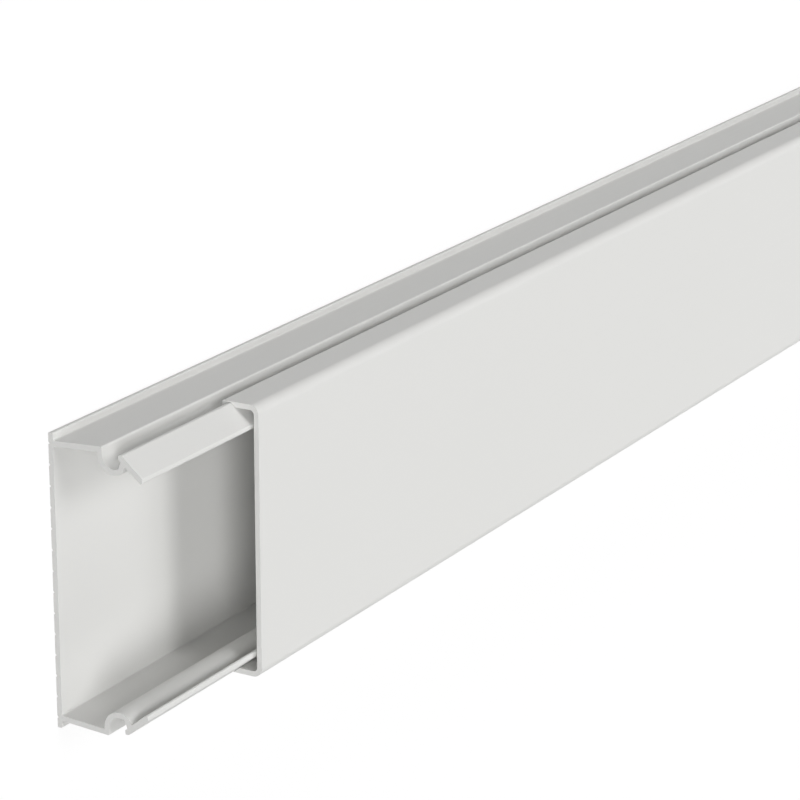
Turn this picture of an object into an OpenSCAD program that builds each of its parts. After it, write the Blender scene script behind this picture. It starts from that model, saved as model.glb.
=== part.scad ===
// Cable trunking of two extruded PVC profiles: a wall base and a clip-on lid
// It lies on its back: X runs along the length, Y across the width, Z away from the wall
// The origin is the middle of the base's rear face

/* [Lengths] */
// Length of the base
base_len = 2000; // [400:10:3000]
// Length of the lid
lid_len = 2000; // [400:10:3000]
// How far the lid is slid along the base, leaving one end of the base open
lid_shift = 64; // [0:1:250]

/* [Base walls] */
// Width across the side walls at their front edges
trunk_w = 100; // [70:1:160]
// Depth from the rear face to the front edges of the side walls
wall_depth = 20.9; // [14:0.1:50]
// Thickness of the side walls
wall_t = 1.9; // [1.4:0.1:2.4]
// Thickness of the back wall
back_t = 1.9; // [1.6:0.1:3]
// How far each side wall leans out between its root and its front edge
wall_lean = 1.3; // [0.3:0.1:2]
// How far the back wall stands out past the front edges of the side walls
lip_w = 1.45; // [1:0.05:4]
// Rounding of the lips' front edges
lip_round = 0.5; // [0.3:0.1:1]
// Rounding of the lips' rear edges
lip_rear_round = 0.5; // [0.1:0.05:0.55]
// Fillet between a lip and its side wall
lip_fillet = 0.6; // [0.2:0.1:0.8]
// Fillet inside, between the back wall and a side wall
root_fillet = 0.6; // [0.3:0.1:2.5]
// Rounding of the side walls' front edges
edge_round = 0.6; // [0.2:0.1:1]

/* [Rear notches] */
// Number of V-notches along the rear face
notch_count = 14; // [4:2:20]
// Distance from the edge of a lip to the first notch
notch_inset = 3.7; // [2.5:0.05:6]
// Width of a notch at the rear face
notch_w = 1.1; // [0.6:0.1:2]
// Depth of a notch
notch_depth = 0.5; // [0.2:0.1:0.9]

/* [Clip of the base] */
// Inside radius of the half-round groove
groove_r = 4.2; // [3.6:0.1:6]
// Thickness of the groove's wall and of the web that carries the leg
groove_t = 1.9; // [1.4:0.1:2.4]
// Distance from the side wall's front edge in to the centre of the groove
groove_inset = 2.85; // [2.5:0.05:4]
// Angle round the groove from its deepest line to the foot of the web
web_turn = 35.5; // [30:0.5:42]
// Width of the groove's mouth, from the side wall to the leg's head
mouth_w = 6.35; // [5.6:0.05:7.2]
// Thickness of the slanted leg, and of its squared head both ways
leg_t = 2; // [1.4:0.1:2.4]
// Distance from the middle of the leg's head to its flat tip, straight out from the wall
leg_rise = 8.05; // [6:0.05:12]
// Slope of the leg towards the middle, from the straight-out direction
leg_angle = 40; // [34:1:46]
// Rounding of the outer rear edge of the leg's head
head_round = 0.4; // [0.2:0.05:0.6]
// Rounding of the inner edge of the leg's tip
tip_round = 0.65; // [0.4:0.05:0.7]
// Rounding of the leg's blunt edges
blunt_round = 0.25; // [0.1:0.05:0.4]
// Distance along the leg from the middle of its head to the web
web_reach = 1.25; // [1.1:0.05:1.8]
// Fillets between the web and the leg
web_fillet = 0.4; // [0.2:0.05:0.5]
// Radius that blends the front of the web into the groove's wall
web_blend = 3; // [1:0.1:4]

/* [Lid] */
// Thickness of the lid's front plate and flanges
lid_t = 1.9; // [1.4:0.1:2.4]
// Outside radius of the lid's long edges
lid_round = 3.5; // [2.6:0.1:6]
// Gap between the lid and the leg that it clips over
lid_fit = 0.15; // [0.1:0.05:0.3]
// Thickness that is left of the flange where it passes over the leg's head
lid_neck = 0.5; // [0.4:0.05:1]
// Gap between the tips of the legs and the inside of the front plate
tip_gap = 1.3; // [0.4:0.05:4]
// Thickness of the hook behind the leg's head
hook_t = 2.05; // [1.6:0.05:2.4]
// Length of the hook past the nose with which it grips under the leg's head
hook_drop = 1.4; // [1:0.1:1.8]
// Rounding of the nose
nose_round = 0.5; // [0.2:0.05:0.6]
// Rounding of the hook's end
hook_round = 0.8; // [0.3:0.1:1]
// Rounding of the flange's rear edge
flange_round = 0.6; // [0.2:0.1:1]

/* [Hidden] */

pvc_white = [0.88, 0.88, 0.87];
// Largest turn between two neighbouring points of an arc, in degrees
arc_step = 5;

// A section lies in [distance from the middle, depth from the rear face]
function heading(angle) = [cos(angle), sin(angle)];
function turn_of(v) = atan2(v.y, v.x);
function unit(v) = v / norm(v);
function flat(p) = [p.x, p.y];
// A corner of an outline is a point and the radius that rounds it
function corner(point, radius = 0) = [point.x, point.y, radius];
function sharp(points) = [for (p = points) corner(p)];
function past_first(points) = [for (i = [1 : len(points) - 1]) points[i]];
// Where the line through p along u crosses the line through q along v
function crossing(p, u, q, v) = p + u * cross(q - p, v) / cross(u, v);
// Where it crosses the line at one distance from the middle, or at one depth
function at_side(p, u, side) = crossing(p, u, [side, 0], [0, 1]);
function at_depth(p, u, depth) = crossing(p, u, [0, depth], [1, 0]);
function arc(centre, radius, from, to) =
    let (steps = ceil(abs(to - from) / arc_step))
    [for (i = [0 : steps]) centre + radius * heading(from + (to - from) * i / steps)];
// Arc that rounds a corner between the directions back to one neighbour and on to the next
function corner_arc(point, back, on, radius) =
    let (
        half = acos(back * on) / 2,
        centre = point + radius / sin(half) * unit(back + on),
        from = turn_of(point + radius / tan(half) * back - centre)
    )
    arc(centre, radius, from, from + atan2(cross(-back, on), -back * on));
// Points of a closed outline, with its corners rounded
function rounded(corners) =
    let (count = len(corners))
    [
        for (i = [0 : count - 1])
            let (
                here = flat(corners[i]),
                back = unit(flat(corners[(i + count - 1) % count]) - here),
                on = unit(flat(corners[(i + 1) % count]) - here)
            )
            each corners[i].z == 0 ? [here] : corner_arc(here, back, on, corners[i].z)
    ];
function reversed(corners) = [for (i = [len(corners) - 1 : -1 : 0]) corners[i]];
// The same corners on the other side of the middle, in the order that closes the outline
function mirrored(corners) = [for (c = reversed(corners)) [-c.x, c.y, c.z]];

// Side walls and lips
half_w = trunk_w / 2;
lip_edge = half_w + lip_w;
function wall_face(depth) = half_w - wall_lean * (1 - depth / wall_depth);

// Notches
notch_first = lip_edge - notch_inset;
notch_pitch = 2 * notch_first / (notch_count - 1);

// Groove and leg
groove_centre = [half_w - groove_inset, wall_depth + groove_r];
groove_outer_r = groove_r + groove_t;
leg_r = leg_t / 2;
leg_along = heading(90 + leg_angle);
leg_out = heading(leg_angle);
leg_head = [groove_centre.x, wall_depth + mouth_w + leg_r];
leg_outer = leg_head + leg_r * leg_out;
leg_under = leg_head - leg_r * leg_out;
tip_depth = leg_head.y + leg_rise;
// Head of a leg, or the room for it in the lid, from its inner rear edge to its outer front edge
function head_edges(reach, outer_rear, blunt) = [
    corner(at_depth(leg_head - reach * leg_out, leg_along, leg_head.y - reach), blunt),
    corner(leg_head + [reach, -reach], outer_rear),
    corner(at_side(leg_head + reach * leg_out, leg_along, leg_head.x + reach), blunt)
];

// Web, straight from the middle of the groove's wall to the middle of the leg
web_foot = groove_centre + (groove_r + groove_t / 2) * heading(180 - web_turn);
web_along = unit(leg_head + web_reach * leg_along - web_foot);
web_out = [-web_along.y, web_along.x];
web_front = web_foot + groove_t / 2 * web_out;
web_rear = web_foot - groove_t / 2 * web_out;
grip_corner = crossing(leg_under, leg_along, web_rear, web_along);
web_armpit = crossing(leg_under, leg_along, web_front, web_along);
// Turn at which a line along the web, through a point, meets a circle round the groove's centre
function web_turn_at(point, radius) =
    turn_of(web_out) + acos((point - groove_centre) * web_out / radius);
blend_reach = groove_outer_r - web_blend;
blend_turn = web_turn_at(web_front - web_blend * web_out, blend_reach);
blend_centre = groove_centre + blend_reach * heading(blend_turn);

// Lid, hung on the legs and hooked behind their heads
room_r = leg_r + lid_fit;
room_out = leg_head + room_r * leg_out;
room_under = leg_head - room_r * leg_out;
lid_half = leg_head.x + room_r + lid_neck;
lid_front = tip_depth + tip_gap + lid_t;
hook_rear = leg_head.y - leg_r - hook_t;
hook_face = web_rear - lid_fit * web_out;
nose = crossing(room_under, leg_along, hook_face, web_along);
hook_end = nose.x - hook_drop;

rear_face = [
    for (i = [0 : notch_count - 1])
        let (middle = i * notch_pitch - notch_first)
        each [[middle - notch_w / 2, 0], [middle, notch_depth], [middle + notch_w / 2, 0]]
];

// One side of the base, from its lip forward to the clip and back to the root of the side wall
base_side = [
    corner([lip_edge, 0], lip_rear_round),
    corner([lip_edge, back_t], lip_round),
    corner([wall_face(back_t), back_t], lip_fillet),
    corner([half_w, wall_depth], edge_round),
    each sharp(arc(groove_centre, groove_r, 270, web_turn_at(web_rear, groove_r))),
    corner(grip_corner, web_fillet),
    each head_edges(leg_r, head_round, blunt_round),
    corner(at_depth(leg_outer, leg_along, tip_depth), blunt_round),
    corner(at_depth(leg_under, leg_along, tip_depth), tip_round),
    corner(web_armpit, web_fillet),
    each sharp(arc(blend_centre, web_blend, turn_of(web_out), blend_turn)),
    each sharp(past_first(arc(groove_centre, groove_outer_r, blend_turn, 270))),
    corner([wall_face(wall_depth - groove_t) - wall_t, wall_depth - groove_t]),
    corner([wall_face(back_t) - wall_t, back_t], root_fillet)
];

// One side of the lid, from the inside of the front plate round the hook to the outside
lid_side = [
    corner([lid_half - lid_t, lid_front - lid_t], lid_round - lid_t),
    corner(at_side(room_out, leg_along, lid_half - lid_t)),
    each reversed(head_edges(room_r, head_round + lid_fit, blunt_round + lid_fit)),
    corner(nose, nose_round),
    corner(at_side(hook_face, web_along, hook_end), hook_round),
    corner([hook_end, hook_rear], hook_round),
    corner([lid_half, hook_rear], flange_round),
    corner([lid_half, lid_front], lid_round)
];

// Draws a closed outline out along X
module extruded(corners, start, length) {
    translate([start, 0, 0]) rotate([90, 0, 90]) linear_extrude(length) polygon(rounded(corners));
}

module trunking_base() {
    outline = concat(sharp(rear_face), base_side, mirrored(base_side));
    color(pvc_white) extruded(outline, -base_len / 2, base_len);
}

module trunking_lid() {
    outline = concat(lid_side, mirrored(lid_side));
    color(pvc_white) extruded(outline, lid_shift - base_len / 2, lid_len);
}

trunking_base();
trunking_lid();
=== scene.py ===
"""Looks of the cable trunking: white PVC, soft studio light and the photograph's camera."""

import math

import bpy
from mathutils import Matrix, Vector

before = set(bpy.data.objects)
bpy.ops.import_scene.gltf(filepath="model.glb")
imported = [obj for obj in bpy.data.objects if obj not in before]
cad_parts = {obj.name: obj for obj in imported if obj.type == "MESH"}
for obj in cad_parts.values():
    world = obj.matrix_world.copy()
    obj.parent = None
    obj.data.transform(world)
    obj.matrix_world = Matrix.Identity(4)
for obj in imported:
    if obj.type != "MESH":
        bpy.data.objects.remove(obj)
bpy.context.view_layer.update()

# The photograph's viewpoint, in metres in the part's frame
CAMERA_AT = Vector((-1.8142, 0.3837, 0.6020))
CAMERA_FORWARD = Vector((0.82454, -0.30419, -0.47708))
CAMERA_UP = Vector((0.26286, 0.95261, -0.15310))
LENS_MM = 148.17
SENSOR_MM = 36.0

# Soft lamps: the way the light comes from, its angular size in degrees and its strength
LAMPS = {
    "front_wide": ((0.22, 0.16, 1.0), 32.0, 0.45),
    "front_high": ((-0.09, 0.45, 1.0), 20.0, 0.70),
    "front_low": ((-0.09, -0.14, 1.0), 20.0, 0.24),
    "open_end_low": ((-1.18, -0.2, 1.0), 23.0, 1.21),
    "open_end_high": ((-1.45, 0.27, 1.0), 26.0, 1.37),
    "above": ((0.15, 5.0, 1.0), 38.0, 0.86),
    "below": ((0.3, -1.2, 1.0), 40.0, 0.38),
}

# White of the backdrop, the floor's side in metres and the colour that it throws back
WHITE = (1.0, 1.0, 1.0, 1.0)
FLOOR_SIDE = 12.0
FLOOR_COLOR = (0.42, 0.42, 0.42, 1.0)
# In the picture the floor is mostly plain white, and its lit share keeps the shadows
FLOOR_WHITE = 0.85
FLOOR_SHARE = (0.15, 0.15, 0.15, 1.0)

# White PVC: the lightest and darkest of its faint clouds, and its sawn ends painted darker with
# shade that the lamps don't give them
PVC_LIGHT = (0.709, 0.708, 0.694, 1.0)
PVC_DARK = (0.694, 0.693, 0.677, 1.0)
PVC_SAWN_SHADE = (0.640, 0.639, 0.626, 1.0)
# Reflection of the satin skin, below that of polished PVC
PVC_SPECULAR = 0.3
# Finer steps of every noise, and clouds to a metre
NOISE_DETAIL = 3.0
CLOUD_SCALE = 7.0
# Die lines of the extrusion: repeats per metre on each axis, and depth in metres
DIE_LINES = (1.5, 700.0, 700.0)
DIE_LINE_DEPTH = 3e-6
# Roughness of the skin, which changes from line to line
SHINIEST = 0.5
DULLEST = 0.64
# Fine grain of the skin: repeats per metre, and depth in metres
GRAIN_SCALE = 2200.0
GRAIN_DEPTH = 2e-6
# Marks of the saw on the cut ends: repeats per metre on each axis, their lean, and depth in metres
SAW_LINES = (1.0, 2600.0, 90.0)
SAW_LEAN = math.radians(24)
SAW_DEPTH = 25e-6
# A face is a cut end where its normal has more than this along X
SAW_FACING = 0.9


def place_camera():
    """Camera at the photograph's viewpoint."""
    data = bpy.data.cameras.new("camera")
    data.lens = LENS_MM
    data.sensor_width = SENSOR_MM
    data.sensor_fit = "HORIZONTAL"
    camera = bpy.data.objects.new("camera", data)
    bpy.context.scene.collection.objects.link(camera)
    back = -CAMERA_FORWARD.normalized()
    right = CAMERA_UP.cross(back).normalized()
    up = back.cross(right)
    turn = Matrix((right, up, back)).transposed()
    camera.matrix_world = Matrix.Translation(CAMERA_AT) @ turn.to_4x4()
    bpy.context.scene.camera = camera


def place_lamps():
    """A soft sun for each lamp, so that the light is even along the length."""
    for name, (source, angle, strength) in LAMPS.items():
        data = bpy.data.lights.new(name, "SUN")
        data.energy = strength
        data.angle = math.radians(angle)
        lamp = bpy.data.objects.new(name, data)
        bpy.context.scene.collection.objects.link(lamp)
        lamp.rotation_euler = Vector(source).to_track_quat("Z", "Y").to_euler()


def math_node(tree, operation, *inputs):
    """Output of a math node, whose inputs are sockets or numbers."""
    node = tree.nodes.new("ShaderNodeMath")
    node.operation = operation
    for socket, value in zip(node.inputs, inputs):
        if isinstance(value, bpy.types.NodeSocket):
            tree.links.new(value, socket)
        else:
            socket.default_value = value
    return node.outputs[0]


def background_rays(tree):
    """1 for the rays that picture the background, direct or mirrored, and 0 for the rest."""
    path = tree.nodes.new("ShaderNodeLightPath")
    mirrored = math_node(
        tree, "MAXIMUM", path.outputs["Is Glossy Ray"], path.outputs["Is Transmission Ray"]
    )
    return math_node(tree, "MAXIMUM", path.outputs["Is Camera Ray"], mirrored)


def make_world():
    """White backdrop, which is pictured but gives the part no diffuse light."""
    world = bpy.data.worlds.new("studio")
    world.use_nodes = True
    tree = world.node_tree
    backdrop = tree.nodes["Background"]
    backdrop.inputs["Color"].default_value = WHITE
    tree.links.new(background_rays(tree), backdrop.inputs["Strength"])
    bpy.context.scene.world = world


def make_floor_material():
    """Pale floor, pictured as white with the part's shadow on it."""
    material = bpy.data.materials.new("floor")
    material.use_nodes = True
    tree = material.node_tree
    tree.nodes.remove(tree.nodes["Principled BSDF"])
    lit = tree.nodes.new("ShaderNodeBsdfDiffuse")
    lit.inputs["Color"].default_value = FLOOR_COLOR
    white = tree.nodes.new("ShaderNodeEmission")
    white.inputs["Color"].default_value = WHITE
    white.inputs["Strength"].default_value = FLOOR_WHITE
    shaded = tree.nodes.new("ShaderNodeBsdfDiffuse")
    shaded.inputs["Color"].default_value = FLOOR_SHARE
    picture = tree.nodes.new("ShaderNodeAddShader")
    tree.links.new(white.outputs[0], picture.inputs[0])
    tree.links.new(shaded.outputs[0], picture.inputs[1])
    mix = tree.nodes.new("ShaderNodeMixShader")
    tree.links.new(background_rays(tree), mix.inputs["Fac"])
    tree.links.new(lit.outputs[0], mix.inputs[1])
    tree.links.new(picture.outputs[0], mix.inputs[2])
    tree.links.new(mix.outputs[0], tree.nodes["Material Output"].inputs["Surface"])
    return material


def make_floor():
    """Square floor, level with the part's rear face."""
    mesh = bpy.data.meshes.new("floor")
    half = FLOOR_SIDE / 2
    corners = [(-half, -half, 0), (half, -half, 0), (half, half, 0), (-half, half, 0)]
    mesh.from_pydata(corners, [], [(0, 1, 2, 3)])
    mesh.materials.append(make_floor_material())
    floor = bpy.data.objects.new("floor", mesh)
    bpy.context.scene.collection.objects.link(floor)


def noise(tree, place, scale=1.0):
    """Noise from 0 to 1 over the places that a socket gives."""
    node = tree.nodes.new("ShaderNodeTexNoise")
    node.inputs["Scale"].default_value = scale
    node.inputs["Detail"].default_value = NOISE_DETAIL
    tree.links.new(place, node.inputs["Vector"])
    return node.outputs["Fac"]


def leaned(tree, place, angle):
    """Places turned about X."""
    node = tree.nodes.new("ShaderNodeVectorRotate")
    node.rotation_type = "X_AXIS"
    node.inputs["Angle"].default_value = angle
    tree.links.new(place, node.inputs["Vector"])
    return node.outputs["Vector"]


def stretched(tree, place, scale):
    """Places scaled differently along each axis."""
    node = tree.nodes.new("ShaderNodeMapping")
    node.inputs["Scale"].default_value = scale
    tree.links.new(place, node.inputs["Vector"])
    return node.outputs["Vector"]


def bumped(tree, height, depth, below=None):
    """Normal of a surface with this relief, on top of the relief below."""
    node = tree.nodes.new("ShaderNodeBump")
    node.inputs["Distance"].default_value = depth
    tree.links.new(height, node.inputs["Height"])
    if below is not None:
        tree.links.new(below, node.inputs["Normal"])
    return node.outputs["Normal"]


def ranged(tree, share, low, high):
    """Value that goes from low to high as a socket goes from 0 to 1."""
    node = tree.nodes.new("ShaderNodeMapRange")
    node.inputs["To Min"].default_value = low
    node.inputs["To Max"].default_value = high
    tree.links.new(share, node.inputs["Value"])
    return node.outputs["Result"]


def mixed_colors(tree, share):
    """Node that goes from its colour A to its colour B as a socket goes from 0 to 1."""
    node = tree.nodes.new("ShaderNodeMix")
    node.data_type = "RGBA"
    tree.links.new(share, node.inputs["Factor"])
    return node


def cut_ends(tree):
    """1 on the faces across the length, where the profiles were sawn, and 0 on the skin."""
    geometry = tree.nodes.new("ShaderNodeNewGeometry")
    facing = tree.nodes.new("ShaderNodeSeparateXYZ")
    tree.links.new(geometry.outputs["True Normal"], facing.inputs[0])
    along = math_node(tree, "ABSOLUTE", facing.outputs["X"])
    return math_node(tree, "GREATER_THAN", along, SAW_FACING)


def make_pvc():
    """Satin white PVC of both profiles."""
    material = bpy.data.materials.new("pvc_white")
    material.use_nodes = True
    tree = material.node_tree
    shader = tree.nodes["Principled BSDF"]
    shader.inputs["Specular IOR Level"].default_value = PVC_SPECULAR
    place = tree.nodes.new("ShaderNodeTexCoord").outputs["Object"]
    cut = cut_ends(tree)

    skin = mixed_colors(tree, noise(tree, place, CLOUD_SCALE))
    skin.inputs["A"].default_value = PVC_DARK
    skin.inputs["B"].default_value = PVC_LIGHT
    # Painted shade: the sawn ends, which face along the length, get a darker colour than the skin
    sawn_shade = mixed_colors(tree, cut)
    tree.links.new(skin.outputs["Result"], sawn_shade.inputs["A"])
    sawn_shade.inputs["B"].default_value = PVC_SAWN_SHADE
    tree.links.new(sawn_shade.outputs["Result"], shader.inputs["Base Color"])

    lines = noise(tree, stretched(tree, place, DIE_LINES))
    tree.links.new(ranged(tree, lines, SHINIEST, DULLEST), shader.inputs["Roughness"])

    grain = noise(tree, place, GRAIN_SCALE)
    marks = noise(tree, stretched(tree, leaned(tree, place, SAW_LEAN), SAW_LINES))
    sawn = math_node(tree, "MULTIPLY", marks, cut)
    relief = bumped(tree, lines, DIE_LINE_DEPTH)
    relief = bumped(tree, grain, GRAIN_DEPTH, relief)
    relief = bumped(tree, sawn, SAW_DEPTH, relief)
    tree.links.new(relief, shader.inputs["Normal"])
    return material


bpy.context.scene.view_settings.view_transform = "Standard"
pvc = make_pvc()
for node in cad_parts.values():
    node.data.materials.clear()
    node.data.materials.append(pvc)
place_camera()
place_lamps()
make_world()
make_floor()
